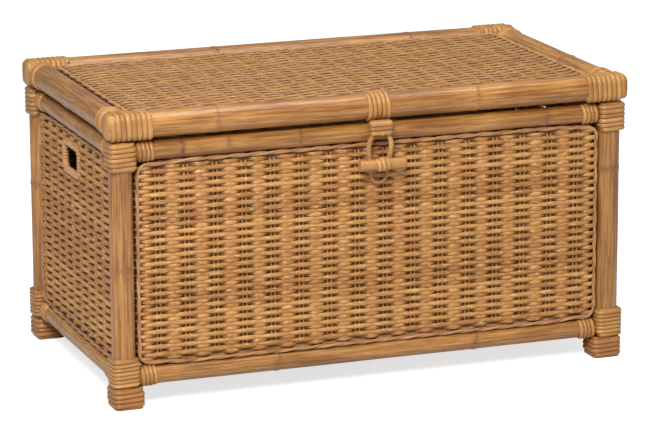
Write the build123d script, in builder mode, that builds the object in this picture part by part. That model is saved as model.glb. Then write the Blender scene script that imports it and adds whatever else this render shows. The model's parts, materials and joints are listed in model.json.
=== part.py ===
from build123d import *
import math
import os

os.makedirs("parts", exist_ok=True)

# A wicker storage chest: a frame of rattan poles bound with cane at its corners, woven panels,
# and a hinged lid that a cane loop and a wooden peg hold shut. Millimetres, Z up, front towards
# -Y, floor at z = 0. The peg reaches out in front, so the plan's middle lies mid_y behind the
# origin, which is the middle of the whole outline.

# Frame of the chest
mid_y = 8.0
post_x = 378.5
post_y = 203.5
post_r = 17.0
post_top = 390.6
bottom_rail_z = 45.0
bottom_rail_r = 13.6
top_rail_z = 374.5
top_rail_r = 13.7

# Cane bindings. A strand is as thick as its pitch less a gap, and stands binding_proud out.
strand_gap = 0.6
binding_proud = 2.6
post_binding_side = 20.6
post_binding_corner = 9.0
post_top_crossings = 6
post_top_binding = (347.6, 390.8)
post_foot_crossings = 7
post_foot_binding = (32.6, 75.6)
rail_pitch = 6.1
rail_crossings = 4
binding_room = 0.5
touch = 0.05

# Feet, square blocks that stand out further inwards than outwards
foot_side = 23.5
foot_inset = 3.5
foot_corner = 9.0
foot_crossings = 4
foot_binding = (1.6, 31.4)
foot_top = 31.9

# Woven panels, each a slab with a bound edge between four poles, on stakes that reach the poles
slab_out = 9.0
slab_in = 3.0
slab_gap = 8.9
trim_r = 3.25
trim_gap = 5.6
trim_corner = 20.0
trim_out = 6.25
stake_r = 2.2
stake_out = 0.8
stake_half_pair = 3.0
long_stakes = 16
long_stake_pitch = 43.4
short_stakes = 9
short_stake_pitch = 37.5

# Weave: in the walls every second row of cane dips behind the pairs of stakes. In the coarser lid
# each row dips behind every second stake, and the next row behind the others.
wall_row = 5.6
wall_dip_high = 4.4
wall_dip_half = 13.0
lid_row = 8.75
lid_dip_high = 6.0
lid_dip_half = 9.0
dip_deep = 5.5
dip_clear = 0.5

# Base
base_bottom = 50.0
base_thick = 8.0
base_x = 362.8
base_y = 187.8
base_notch = 10.0
base_stretcher_r = 9.0
base_stretcher_x = 150.0

# Hand-holds in the two end panels, behind the middle of the chest
hold_y = 16.0
hold_z = 318.5
hold_long = 76.0
hold_high = 42.0
hold_bar_r = 5.5
hold_corner = 12.0
hold_out = 5.0

# Lid
lid_z = 412.7
lid_rail_r = 19.0
lid_x = 381.0
lid_y = 206.0
lid_half = 400.0
lid_end_round = 6.5
lid_pitch = 7.2
lid_crossings = 8
lid_side_crossings = 3
lid_binding_end = 393.0
lid_slab_low = 1.5
lid_slab_thick = 12.0
lid_trim_up = 11.0
lid_stake_up = 5.5
lid_stakes = 27
lid_stake_pitch = 25.8
lid_stretcher_r = 7.0
lid_stretcher_down = 5.6
lid_stretcher_x = 150.0

# Hinges at the back
hinge_x = 230.0
hinge_y = 222.2
hinge_z = 391.0
hinge_wide = 50.0
barrel_r = 3.4
pin_r = 1.5
pin_clear = 0.05
middle_knuckle = 18.0
knuckle_gap = 0.3
box_leaf_thick = 2.0
box_leaf_low = 365.5
lid_leaf_thick = 1.8
lid_leaf_high = 421.0
screw_x = 17.0
screw_shank_r = 1.45
screw_shank = 14.0
screw_hole_r = 1.5
screw_head_r = 3.2
screw_head = 1.9

# Latch: a strap round the lid's front rail, a bound tab under it, a loop, and a peg in front
latch_x = 7.0
strap_pitch = 7.0
strap_crossings = 5
pivot_y = -228.0
pivot_z = 391.5
latch_tilt = 6.6
tab_strand = 4.6
tab_pitch = 6.4
tab_crossings = 3
tab_half_wide = 15.9
tab_half_deep = 5.6
tab_corner = 4.7
tab_rise = 0.5
loop_r = 3.25
loop_neck = 10.3
loop_belly = 17.7
loop_foot = 11.6
loop_neck_down = 16.0
loop_belly_down = 31.0
loop_foot_down = 90.5
loop_radii = (7.0, 9.0, 14.0, 10.5, 10.5, 14.0, 9.0, 7.0)
peg_y = -233.5
peg_z = 331.6
peg_r = 8.25
peg_long = 71.0
peg_edge = 1.5
lashing_pitch = 6.4
lashing_crossings = 3
stem_r = 3.5
stem_clear = 0.05
stem_head_r = 7.0
stem_head = 2.0

long_rail_half = post_x - post_binding_side - touch
short_rail_half = post_y - post_binding_side - touch
panel_bottom = bottom_rail_z + bottom_rail_r
panel_top = top_rail_z - top_rail_r
corners = {
    "front_left": (-1, -1),
    "front_right": (1, -1),
    "back_left": (-1, 1),
    "back_right": (1, 1),
}


def turned_pole(start, stretches):
    """A pole along the plane's own x axis, turned to a row of (length, radius) stretches."""
    outline = [(0, 0)]
    along = 0
    for length, radius in stretches:
        outline.append((along, radius))
        along += length
        outline.append((along, radius))
    outline.append((along, 0))
    with BuildPart() as pole:
        with BuildSketch(start):
            with BuildLine():
                Polyline(*outline, close=True)
            make_face()
        revolve(axis=Axis(start.origin, start.x_dir))
    return pole.part


def bend(start, start_way, end, end_way):
    """Two arcs that leave start along start_way and reach end along end_way, always tangent."""
    across = end - start
    ways = start_way + end_way
    spread = 2 * (1 - start_way.dot(end_way))
    reach = math.sqrt(across.dot(ways) ** 2 + spread * across.dot(across)) - across.dot(ways)
    reach /= spread
    first = start + start_way * reach
    second = end - end_way * reach
    middle = (first + second) * 0.5
    TangentArc(start, middle, tangent=start_way)
    TangentArc(middle, end, tangent=(second - first).normalized())


def round_stops(radius, crossings):
    """Points and level directions at each half turn round a round pole."""
    stops = []
    for half in range(2 * crossings):
        side = (-1) ** half
        stops.append(((side * radius, 0), (0, side), half * math.pi * radius))
    return stops, 2 * math.pi * radius


def square_stops(half_x, half_y, corner, crossings):
    """Points and level directions at both ends of each straight side, round a squared pole."""
    run_x = half_x - corner
    run_y = half_y - corner
    quarter = math.pi * corner / 2
    sides = [
        ((-run_x, -half_y), (run_x, -half_y), (1, 0), 2 * run_x),
        ((half_x, -run_y), (half_x, run_y), (0, 1), 2 * run_y),
        ((run_x, half_y), (-run_x, half_y), (-1, 0), 2 * run_x),
        ((-half_x, run_y), (-half_x, -run_y), (0, -1), 2 * run_y),
    ]
    stops = []
    distance = 0
    for side in range(4 * crossings - 2):
        start, end, way, run = sides[side % 4]
        stops.append((start, way, distance))
        stops.append((end, way, distance + run))
        distance += run + quarter
    return stops, 4 * (run_x + run_y) + 4 * quarter


def least_gap(route, turn, strand):
    """The least gap between one turn of a strand and the rest, on points 3 mm apart."""
    step = 3.0
    count = int(route.length / step)
    points = [tuple(route @ (i / count)) for i in range(count + 1)]
    apart = int(0.55 * turn / step)
    nearest = min(
        math.dist(points[i], points[j])
        for i in range(len(points))
        for j in range(i + apart, len(points))
    )
    return nearest - strand


def winding(name, frame, stops, turn, pitch, strand):
    """One strand wound up the frame's z axis, as an unbroken tube with straight ends."""
    slope = pitch / turn
    places = []
    for (x, y), (way_x, way_y), distance in stops:
        point = frame.from_local_coords(Vector(x, y, distance * slope))
        ahead = frame.from_local_coords(Vector(x + way_x, y + way_y, (distance + 1) * slope))
        places.append((point, (ahead - point).normalized()))
    first, first_way = places[0]
    last, last_way = places[-1]
    with BuildPart() as tube:
        with BuildLine() as route:
            Line(first - first_way * strand, first)
            for (here, here_way), (there, there_way) in zip(places, places[1:]):
                if here_way.get_angle(there_way) < 1:
                    Line(here, there)
                else:
                    bend(here, here_way, there, there_way)
            Line(last, last + last_way * strand)
        path = route.wire()
        with BuildSketch(Plane(origin=path @ 0, z_dir=path % 0)):
            Circle(strand / 2)
        sweep(path=path)
    section = math.pi * strand**2 / 4
    gap = least_gap(path, turn, strand)
    share = tube.part.volume / (section * path.length)
    print(f"{name}: least gap {gap:.2f} mm, volume {share:.3f} of section by length")
    return tube.part


def round_winding(name, origin, along, outward, radius, pitch, crossings):
    """A winding on a round pole that starts at origin, with its crossings on the outward side."""
    strand = pitch - strand_gap
    centre_r = radius - strand / 2
    start = outward.cross(along)
    frame = Plane(origin=origin + along * (strand / 2), x_dir=start, z_dir=along)
    stops, turn = round_stops(centre_r, crossings)
    return winding(name, frame, stops, turn, pitch, strand)


def round_winding_length(pitch, crossings):
    return (crossings - 0.5) * pitch + pitch - strand_gap


def neck_length(pitch, crossings):
    """A pole is turned down a little further than its winding reaches."""
    return round_winding_length(pitch, crossings) + 2 * binding_room


def square_winding(name, middle, first_way, side, corner, span, crossings):
    """A winding round a squared post between two heights, from the face that runs first_way."""
    low, high = span
    pitch = (high - low + strand_gap) / (crossings + 0.5)
    strand = pitch - strand_gap
    half = side - strand / 2
    origin = Vector(middle[0], middle[1], low + strand / 2)
    frame = Plane(origin=origin, x_dir=first_way, z_dir=(0, 0, 1))
    stops, turn = square_stops(half, half, corner - strand / 2, crossings)
    return winding(name, frame, stops, turn, pitch, strand), strand


def group(label, members):
    """Several separate solids that share one node."""
    with BuildPart() as together:
        add(members)
    together.part.label = label
    return together.part


def finish_part(label, part):
    part.label = label
    export_step(part, f"parts/{label}.step")


def first_way_at(side_x, side_y):
    """The way the first outer face of a corner runs, going anticlockwise seen from above."""
    if side_x * side_y < 0:
        return Vector(side_x, 0, 0)
    return Vector(0, side_y, 0)


# Posts, feet and the bindings round both


def squared_core(side, corner, strand):
    """The squared section that fits inside a winding of one strand."""
    core = side - strand - touch
    RectangleRounded(2 * core, 2 * core, corner - strand - touch)


def post(side_x, side_y, top_strand, low_strand):
    """A round pole, squared at its top and foot where the cane goes round it."""
    x = side_x * post_x
    y = mid_y + side_y * post_y
    with BuildPart() as pole:
        with BuildSketch(Plane(origin=(x, y, foot_top + touch))):
            squared_core(post_binding_side, post_binding_corner, low_strand)
        extrude(amount=post_foot_binding[1] - foot_top + touch)
        with BuildSketch(Plane(origin=(x, y, post_foot_binding[1] + touch))):
            Circle(post_r)
        extrude(amount=post_top_binding[0] - post_foot_binding[1] - 2 * touch)
        with BuildSketch(Plane(origin=(x, y, post_top_binding[0] - touch))):
            squared_core(post_binding_side, post_binding_corner, top_strand)
        extrude(amount=post_top - post_top_binding[0] + touch)
    return pole.part


def foot(side_x, side_y, strand):
    """The squared block under a post, that the chest stands on."""
    x = side_x * (post_x - foot_inset)
    y = mid_y + side_y * (post_y - foot_inset)
    with BuildPart() as block:
        with BuildSketch(Plane(origin=(x, y, 0))):
            squared_core(foot_side, foot_corner, strand)
        extrude(amount=foot_top)
        chamfer(block.faces().sort_by(Axis.Z)[0].edges(), 1.0)
    return block.part


def rail_end_winding(name, side_x, side_y, runs_x, height, pole_r):
    """The cane round one rail's end, next to the post."""
    if runs_x:
        origin = Vector(side_x * (long_rail_half - binding_room), mid_y + side_y * post_y, height)
        along = Vector(-side_x, 0, 0)
        outward = Vector(0, side_y, 0)
    else:
        origin = Vector(side_x * post_x, mid_y + side_y * (short_rail_half - binding_room), height)
        along = Vector(0, -side_y, 0)
        outward = Vector(side_x, 0, 0)
    radius = pole_r + binding_proud
    return round_winding(name, origin, along, outward, radius, rail_pitch, rail_crossings)


for corner, (side_x, side_y) in corners.items():
    middle = (side_x * post_x, mid_y + side_y * post_y)
    foot_middle = (side_x * (post_x - foot_inset), mid_y + side_y * (post_y - foot_inset))
    way = first_way_at(side_x, side_y)
    square = (post_binding_side, post_binding_corner)
    top_turns, top_strand = square_winding(
        f"post top {corner}", middle, way, *square, post_top_binding, post_top_crossings
    )
    low_turns, low_strand = square_winding(
        f"post foot {corner}", middle, way, *square, post_foot_binding, post_foot_crossings
    )
    foot_turns, foot_strand = square_winding(
        f"foot {corner}", foot_middle, way, foot_side, foot_corner, foot_binding, foot_crossings
    )
    ends = [
        rail_end_winding(f"rail end {corner}", side_x, side_y, runs_x, height, pole_r)
        for height, pole_r in ((top_rail_z, top_rail_r), (bottom_rail_z, bottom_rail_r))
        for runs_x in (True, False)
    ]
    finish_part(f"post_{corner}", post(side_x, side_y, top_strand, low_strand))
    finish_part(f"foot_{corner}", foot(side_x, side_y, foot_strand))
    top_binding = group(f"binding_top_{corner}", [top_turns, ends[0], ends[1]])
    finish_part(f"binding_top_{corner}", top_binding)
    low_binding = group(f"binding_bottom_{corner}", [low_turns, foot_turns, ends[2], ends[3]])
    finish_part(f"binding_bottom_{corner}", low_binding)


# Rails, necked under the cane at their ends


def pilot_holes(back, height):
    """Blind holes from behind for the hinge screws, cut from the pole being built."""
    for x in (-hinge_x, hinge_x):
        for step in (-screw_x, screw_x):
            spot = Plane(origin=(x + step, mid_y + back + 1, height), z_dir=(0, -1, 0))
            with BuildSketch(spot) as hole:
                Circle(screw_hole_r)
            extrude(hole.sketch, amount=1 + screw_shank, mode=Mode.SUBTRACT)


def box_rail(runs_x, side, height, pole_r, has_screws):
    neck = neck_length(rail_pitch, rail_crossings)
    neck_r = pole_r + binding_proud - (rail_pitch - strand_gap) - touch
    if runs_x:
        half = long_rail_half
        start = Plane(origin=(-half, mid_y + side * post_y, height), x_dir=(1, 0, 0))
    else:
        half = short_rail_half
        start = Plane(origin=(side * post_x, mid_y - half, height), x_dir=(0, 1, 0))
    stretches = [(neck, neck_r), (2 * (half - neck), pole_r), (neck, neck_r)]
    with BuildPart() as rail:
        add(turned_pole(start, stretches))
        if has_screws:
            pilot_holes(post_y + pole_r, height)
    return rail.part


rail_levels = {"bottom": (bottom_rail_z, bottom_rail_r), "top": (top_rail_z, top_rail_r)}
rail_places = {"front": (True, -1), "back": (True, 1), "left": (False, -1), "right": (False, 1)}
for level, (height, pole_r) in rail_levels.items():
    for place, (runs_x, side) in rail_places.items():
        has_screws = level == "top" and place == "back"
        rail = box_rail(runs_x, side, height, pole_r, has_screws)
        finish_part(f"{level}_rail_{place}", rail)


# Woven panels and their bound edges


def wall_plane(place, out):
    """The plane of one wall, out mm outside its posts' centres, with x along it and y up."""
    centre_z = (panel_bottom + panel_top) / 2
    if place in ("front", "back"):
        side = rail_places[place][1]
        origin = (0, mid_y + side * (post_y + out), centre_z)
        return Plane(origin=origin, x_dir=(-side, 0, 0), z_dir=(0, side, 0))
    side = rail_places[place][1]
    origin = (side * (post_x + out), mid_y, centre_z)
    return Plane(origin=origin, x_dir=(0, side, 0), z_dir=(side, 0, 0))


def wall_half(place):
    """Half the clear width between the two posts."""
    if place in ("front", "back"):
        return post_x - post_r
    return post_y - post_r


def hold_spot(place):
    """Where the hand-hold lies on its wall's plane."""
    side = rail_places[place][1]
    return (side * hold_y, hold_z - (panel_bottom + panel_top) / 2)


def rounded_edge(half_x, half_y, corner):
    return FilletPolyline(
        (half_x, half_y),
        (-half_x, half_y),
        (-half_x, -half_y),
        (half_x, -half_y),
        radius=corner,
        close=True,
    )


def ring(plane, half_x, half_y, corner, tube_r):
    """A closed rod round a rounded rectangle."""
    with BuildPart() as rod:
        with BuildLine(plane) as edge:
            rounded_edge(half_x, half_y, corner)
        path = edge.wire()
        with BuildSketch(Plane(origin=path @ 0, z_dir=path % 0)):
            Circle(tube_r)
        sweep(path=path)
    return rod.part


def stake_places(count, pitch):
    """Where the stakes, or the middles of their pairs, stand along a panel."""
    return [pitch * (index - (count - 1) / 2) for index in range(count)]


def dips(face, half_y, places, row, middle, high, half_long):
    """The hollows before the stakes at these places, two rows apart, below a woven face."""
    count = 2 * int(half_y / (2 * row))
    height = 2 * row * (count - 1) + high
    width = places[-1] - places[0] + 3 * half_long
    top = Plane(
        origin=face.from_local_coords(Vector(0, middle + height / 2, 0)),
        x_dir=face.x_dir,
        z_dir=-face.y_dir,
    )
    with BuildPart() as hollows:
        with BuildSketch(top):
            for x in places:
                left = x - half_long
                right = x + half_long
                with BuildLine():
                    ThreePointArc((left, 0), (x, -dip_deep), (right, 0))
                    Polyline((right, 0), (right, dip_clear), (left, dip_clear), (left, 0))
                make_face()
        extrude(amount=height)
        with BuildSketch(face.offset(-dip_deep - dip_clear)):
            with Locations(((places[0] + places[-1]) / 2, middle)):
                with GridLocations(1, 2 * row, 1, count - 1):
                    Rectangle(width, 2 * row - high)
        extrude(amount=dip_deep + 3 * dip_clear, mode=Mode.SUBTRACT)
    return hollows.part


def panel(place):
    """A woven slab on pairs of stakes, with the hand-hold's hole or the peg stem's bore."""
    half_x = wall_half(place) - slab_gap
    half_z = (panel_top - panel_bottom) / 2
    slab_half_z = half_z - slab_gap
    along = place in ("front", "back")
    count = long_stakes if along else short_stakes
    pitch = long_stake_pitch if along else short_stake_pitch
    stake_foot = wall_plane(place, stake_out).location.position - Vector(0, 0, half_z - touch)
    x_dir = wall_plane(place, 0).x_dir
    hollows = dips(
        wall_plane(place, slab_out),
        slab_half_z,
        stake_places(count, pitch),
        wall_row,
        0,
        wall_dip_high,
        wall_dip_half,
    )
    with BuildPart() as slab:
        with BuildSketch(wall_plane(place, -slab_in)):
            RectangleRounded(2 * half_x, 2 * slab_half_z, trim_corner - (slab_gap - trim_gap))
        extrude(amount=slab_out + slab_in)
        with BuildSketch(Plane(origin=stake_foot, x_dir=x_dir, z_dir=(0, 0, 1))):
            with GridLocations(pitch, 0, count, 1):
                with Locations((-stake_half_pair, 0), (stake_half_pair, 0)):
                    Circle(stake_r)
        extrude(amount=2 * (half_z - touch))
        add(hollows, mode=Mode.SUBTRACT)
        if not along:
            with BuildSketch(wall_plane(place, -slab_in)):
                with Locations(hold_spot(place)):
                    RectangleRounded(
                        hold_long + 2 * (hold_bar_r + touch),
                        hold_high + 2 * (hold_bar_r + touch),
                        hold_corner + hold_bar_r + touch,
                    )
            extrude(amount=slab_out + slab_in, mode=Mode.SUBTRACT)
        if place == "front":
            stem_hole = Plane(origin=(latch_x, mid_y - post_y + slab_in, peg_z), z_dir=(0, -1, 0))
            with BuildSketch(stem_hole):
                Circle(stem_r + stem_clear)
            extrude(amount=slab_out + slab_in, mode=Mode.SUBTRACT)
    return slab.part


for place in rail_places:
    finish_part(f"{place}_panel", panel(place))
    trim_half_x = wall_half(place) - trim_gap
    trim_half_z = (panel_top - panel_bottom) / 2 - trim_gap
    trim = ring(wall_plane(place, trim_out), trim_half_x, trim_half_z, trim_corner, trim_r)
    finish_part(f"{place}_trim", trim)

for place in ("left", "right"):
    spot_x, spot_y = hold_spot(place)
    wall = wall_plane(place, hold_out)
    centre = Plane(
        origin=wall.from_local_coords(Vector(spot_x, spot_y, 0)),
        x_dir=wall.x_dir,
        z_dir=wall.z_dir,
    )
    frame = ring(centre, hold_long / 2, hold_high / 2, hold_corner, hold_bar_r)
    finish_part(f"handhold_frame_{place}", frame)


# Base panel and the stretchers it lies on

with BuildPart() as base_panel:
    with BuildSketch(Plane(origin=(0, mid_y, base_bottom))):
        Rectangle(2 * base_x, 2 * base_y)
        with GridLocations(2 * base_x - base_notch, 2 * base_y - base_notch, 2, 2):
            Rectangle(base_notch, base_notch, mode=Mode.SUBTRACT)
    extrude(amount=base_thick)
finish_part("base_panel", base_panel.part)


def stretchers(x_offset, height, radius, half_length):
    """Two round cross bars from front to back."""
    with BuildPart() as bars:
        end = Plane(origin=(0, mid_y + half_length, height), x_dir=(1, 0, 0), z_dir=(0, -1, 0))
        with BuildSketch(end):
            with Locations((-x_offset, 0), (x_offset, 0)):
                Circle(radius)
        extrude(amount=2 * half_length)
    return bars.part


base_bars = stretchers(
    base_stretcher_x,
    base_bottom - base_stretcher_r,
    base_stretcher_r,
    post_y - bottom_rail_r - touch,
)
finish_part("base_stretchers", base_bars)


# Lid: four rails, a woven panel with a bound edge, cross bars and the bindings at the corners

lid_strand = lid_pitch - strand_gap
lid_neck_r = lid_rail_r + binding_proud - lid_strand - touch
lid_binding_r = lid_rail_r + binding_proud
lid_end_neck = neck_length(lid_pitch, lid_crossings)
lid_side_neck = neck_length(lid_pitch, lid_side_crossings)
lid_side_half = lid_y - lid_binding_r - touch
strap_length = round_winding_length(strap_pitch, strap_crossings)
strap_neck_r = lid_rail_r + binding_proud - (strap_pitch - strand_gap) - touch


def long_lid_rail(side, has_strap, has_screws):
    """A front or back pole of the lid, with rounded ends beyond the cane."""
    end = lid_half - lid_binding_end
    start = Plane(origin=(-lid_half, mid_y + side * lid_y, lid_z), x_dir=(1, 0, 0))
    middle = 2 * (lid_binding_end - lid_end_neck)
    stretches = [(end, lid_rail_r), (lid_end_neck, lid_neck_r), (middle, lid_rail_r)]
    if has_strap:
        neck = neck_length(strap_pitch, strap_crossings)
        left = middle / 2 + latch_x - neck / 2
        stretches.pop()
        stretches += [(left, lid_rail_r), (neck, strap_neck_r), (middle - left - neck, lid_rail_r)]
    stretches += [(lid_end_neck, lid_neck_r), (end, lid_rail_r)]
    with BuildPart() as rail:
        add(turned_pole(start, stretches))
        ends = rail.faces().filter_by(Axis.X)
        fillet((ends.sort_by(Axis.X)[0].edges(), ends.sort_by(Axis.X)[-1].edges()), lid_end_round)
        if has_screws:
            pilot_holes(lid_y + lid_rail_r, lid_z)
    return rail.part


def side_lid_rail(side):
    start = Plane(origin=(side * lid_x, mid_y - lid_side_half, lid_z), x_dir=(0, 1, 0))
    middle = 2 * (lid_side_half - lid_side_neck)
    neck = (lid_side_neck, lid_neck_r)
    return turned_pole(start, [neck, (middle, lid_rail_r), neck])


finish_part("lid_rail_front", long_lid_rail(-1, True, False))
finish_part("lid_rail_back", long_lid_rail(1, False, True))
finish_part("lid_rail_left", side_lid_rail(-1))
finish_part("lid_rail_right", side_lid_rail(1))


def lid_corner_windings(corner):
    """The cane round the end of a long rail, and round the side rail's end that meets it."""
    side_x, side_y = corners[corner]
    long_start = Vector(side_x * (lid_binding_end - binding_room), mid_y + side_y * lid_y, lid_z)
    long_turns = round_winding(
        f"lid end {corner}",
        long_start,
        Vector(-side_x, 0, 0),
        Vector(0, side_y, 0),
        lid_binding_r,
        lid_pitch,
        lid_crossings,
    )
    side_start = Vector(side_x * lid_x, mid_y + side_y * (lid_side_half - binding_room), lid_z)
    side_turns = round_winding(
        f"lid side {corner}",
        side_start,
        Vector(0, -side_y, 0),
        Vector(side_x, 0, 0),
        lid_binding_r,
        lid_pitch,
        lid_side_crossings,
    )
    return [long_turns, side_turns]


for edge in ("front", "back"):
    turns = lid_corner_windings(f"{edge}_left") + lid_corner_windings(f"{edge}_right")
    finish_part(f"lid_bindings_{edge}", group(f"lid_bindings_{edge}", turns))

slab_x = lid_x - lid_rail_r - slab_gap
slab_y = lid_y - lid_rail_r - slab_gap
stake_half = lid_y - lid_rail_r - 0.2
lid_face = Plane(origin=(0, mid_y, lid_z + lid_slab_low + lid_slab_thick))
lid_places = stake_places(lid_stakes, lid_stake_pitch)
lid_hollows = [
    dips(
        lid_face,
        slab_y,
        lid_places[first::2],
        lid_row,
        lid_row * (0.5 - first),
        lid_dip_high,
        lid_dip_half,
    )
    for first in (0, 1)
]

with BuildPart() as lid_panel:
    with BuildSketch(Plane(origin=(0, mid_y, lid_z + lid_slab_low))):
        RectangleRounded(2 * slab_x, 2 * slab_y, trim_corner - (slab_gap - trim_gap))
    extrude(amount=lid_slab_thick)
    stake_end = (0, mid_y + stake_half, lid_z + lid_stake_up)
    with BuildSketch(Plane(origin=stake_end, x_dir=(1, 0, 0), z_dir=(0, -1, 0))):
        with GridLocations(lid_stake_pitch, 0, lid_stakes, 1):
            Circle(stake_r)
    extrude(amount=2 * stake_half)
    add(lid_hollows, mode=Mode.SUBTRACT)
    notch_front = mid_y - lid_y
    notch_deep = lid_binding_r + 2 * touch
    with BuildSketch(Plane(origin=(latch_x, notch_front, lid_z))):
        Rectangle(strap_length + 2 * touch, 2 * notch_deep)
    extrude(amount=lid_slab_low + lid_slab_thick, mode=Mode.SUBTRACT)
finish_part("lid_panel", lid_panel.part)

lid_trim = ring(
    Plane(origin=(0, mid_y, lid_z + lid_trim_up)),
    lid_x - lid_rail_r - trim_gap,
    lid_y - lid_rail_r - trim_gap,
    trim_corner,
    trim_r,
)
finish_part("lid_trim", lid_trim)

lid_bars = stretchers(
    lid_stretcher_x,
    lid_z - lid_stretcher_down,
    lid_stretcher_r,
    lid_y - lid_rail_r - touch,
)
finish_part("lid_stretchers", lid_bars)


# Hinges: two leaves each, on a pin, with pan-head screws


def knuckle(x_low, x_high):
    """A round barrel section between two places along the pin's line."""
    start = Plane(origin=(x_low, mid_y + hinge_y, hinge_z), z_dir=(1, 0, 0))
    with BuildSketch(start) as round_end:
        Circle(barrel_r)
    extrude(round_end.sketch, amount=x_high - x_low)


def pin_bore(x_middle):
    start = Plane(origin=(x_middle - hinge_wide, mid_y + hinge_y, hinge_z), z_dir=(1, 0, 0))
    with BuildSketch(start) as bore:
        Circle(pin_r + pin_clear)
    extrude(bore.sketch, amount=2 * hinge_wide, mode=Mode.SUBTRACT)


def leaf_plate(x_low, x_high, y_near, thick, z_low, z_high):
    """A flat plate that stands behind the chest, with its near face y_near from the plan's middle."""
    centre = ((x_low + x_high) / 2, mid_y + y_near, (z_low + z_high) / 2)
    with BuildSketch(Plane(origin=centre, x_dir=(1, 0, 0), z_dir=(0, -1, 0))) as plate:
        Rectangle(x_high - x_low, z_high - z_low)
    extrude(plate.sketch, amount=-thick)


def leaf_holes(x_middle, y_near, height):
    for step in (-screw_x, screw_x):
        spot = Plane(origin=(x_middle + step, mid_y + y_near - 1, height), z_dir=(0, 1, 0))
        with BuildSketch(spot) as hole:
            Circle(screw_hole_r)
        extrude(hole.sketch, amount=5, mode=Mode.SUBTRACT)


box_leaf_near = post_y + top_rail_r + touch
lid_leaf_near = lid_y + lid_rail_r + touch


def box_leaf(x):
    """The leaf on the top rail, with the middle knuckle."""
    half = hinge_wide / 2
    half_knuckle = middle_knuckle / 2
    shoulder = hinge_z - barrel_r - 0.6
    with BuildPart() as leaf:
        leaf_plate(x - half, x + half, box_leaf_near, box_leaf_thick, box_leaf_low, shoulder)
        web = hinge_y - box_leaf_near
        leaf_plate(x - half_knuckle, x + half_knuckle, box_leaf_near, web, shoulder - 2, hinge_z)
        knuckle(x - half_knuckle, x + half_knuckle)
        pin_bore(x)
        leaf_holes(x, box_leaf_near, top_rail_z)
    return leaf.part


def lid_leaf(x):
    """The leaf on the lid's back rail, with the two outer knuckles."""
    half = hinge_wide / 2
    inner = middle_knuckle / 2 + knuckle_gap
    shoulder = hinge_z + barrel_r + 0.6
    with BuildPart() as leaf:
        leaf_plate(x - half, x + half, lid_leaf_near, lid_leaf_thick, shoulder, lid_leaf_high)
        for low, high in ((x - half, x - inner), (x + inner, x + half)):
            leaf_plate(low, high, lid_leaf_near, lid_leaf_thick, hinge_z, shoulder + 1)
            knuckle(low, high)
        pin_bore(x)
        leaf_holes(x, lid_leaf_near, lid_z)
    return leaf.part


for name, x in (("left", -hinge_x), ("right", hinge_x)):
    finish_part(f"hinge_box_leaf_{name}", box_leaf(x))
    finish_part(f"hinge_lid_leaf_{name}", lid_leaf(x))

with BuildPart() as hinge_pins:
    for x in (-hinge_x, hinge_x):
        start = (x - hinge_wide / 2 - 0.5, mid_y + hinge_y, hinge_z)
        with BuildSketch(Plane(origin=start, z_dir=(1, 0, 0))):
            Circle(pin_r)
        extrude(amount=hinge_wide + 1)
finish_part("hinge_pins", hinge_pins.part)


def screws(leaf_back, height):
    """Four pan-head screws, their heads on the leaves and their shanks in the rail."""
    with BuildPart() as fasteners:
        for x in (-hinge_x, hinge_x):
            for step in (-screw_x, screw_x):
                seat = (x + step, mid_y + leaf_back + touch, height)
                with BuildSketch(Plane(origin=seat, z_dir=(0, 1, 0))):
                    Circle(screw_head_r)
                extrude(amount=screw_head)
                with BuildSketch(Plane(origin=seat, z_dir=(0, -1, 0))):
                    Circle(screw_shank_r)
                extrude(amount=screw_shank)
        fillet(fasteners.faces().sort_by(Axis.Y)[-4:].edges(), 1.2)
    return fasteners.part


finish_part("hinge_screws_box", screws(box_leaf_near + box_leaf_thick, top_rail_z))
finish_part("hinge_screws_lid", screws(lid_leaf_near + lid_leaf_thick, lid_z))


# Latch on the lid: strap, bound tab and loop

latch_strap = round_winding(
    "latch strap",
    Vector(latch_x - strap_length / 2, mid_y - lid_y, lid_z),
    Vector(1, 0, 0),
    Vector(0, -1, 0),
    lid_binding_r,
    strap_pitch,
    strap_crossings,
)
finish_part("latch_strap", latch_strap)

# The tab and the loop hang from the pivot with their lower end a little nearer the chest.
# In this plane x is across, y is up the latch and z points forwards.
tilt = math.radians(latch_tilt)
latch_plane = Plane(
    origin=(latch_x, mid_y + pivot_y, pivot_z),
    x_dir=(1, 0, 0),
    z_dir=(0, -math.cos(tilt), -math.sin(tilt)),
)
tab_low = latch_plane.from_local_coords(
    Vector(0, tab_rise - (tab_crossings - 0.5) * tab_pitch, 0)
)
tab_frame = Plane(origin=tab_low, x_dir=(1, 0, 0), z_dir=latch_plane.y_dir)
tab_stops, tab_turn = square_stops(tab_half_wide, tab_half_deep, tab_corner, tab_crossings)
latch_tab = winding("latch tab", tab_frame, tab_stops, tab_turn, tab_pitch, tab_strand)
finish_part("latch_tab", latch_tab)

loop_points = [
    (loop_neck, 0),
    (loop_neck, -loop_neck_down),
    (loop_belly, -loop_belly_down),
    (loop_foot, -loop_foot_down),
]
loop_points += [(-x, y) for x, y in reversed(loop_points)]
with BuildPart() as latch_loop:
    with BuildLine(latch_plane) as loop_line:
        FilletPolyline(*loop_points, radius=list(loop_radii), close=True)
    loop_path = loop_line.wire()
    with BuildSketch(Plane(origin=loop_path @ 0, z_dir=loop_path % 0)):
        Circle(loop_r)
    sweep(path=loop_path)
finish_part("latch_loop", latch_loop.part)


# Latch on the chest: a peg lashed to the end of a stem that turns in the front panel

lashing_strand = lashing_pitch - strand_gap
lashing_r = peg_r + binding_proud
lashing_length = round_winding_length(lashing_pitch, lashing_crossings)
peg_neck_r = lashing_r - lashing_strand - touch
peg_neck = neck_length(lashing_pitch, lashing_crossings)
peg_end = (peg_long - peg_neck) / 2

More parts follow.
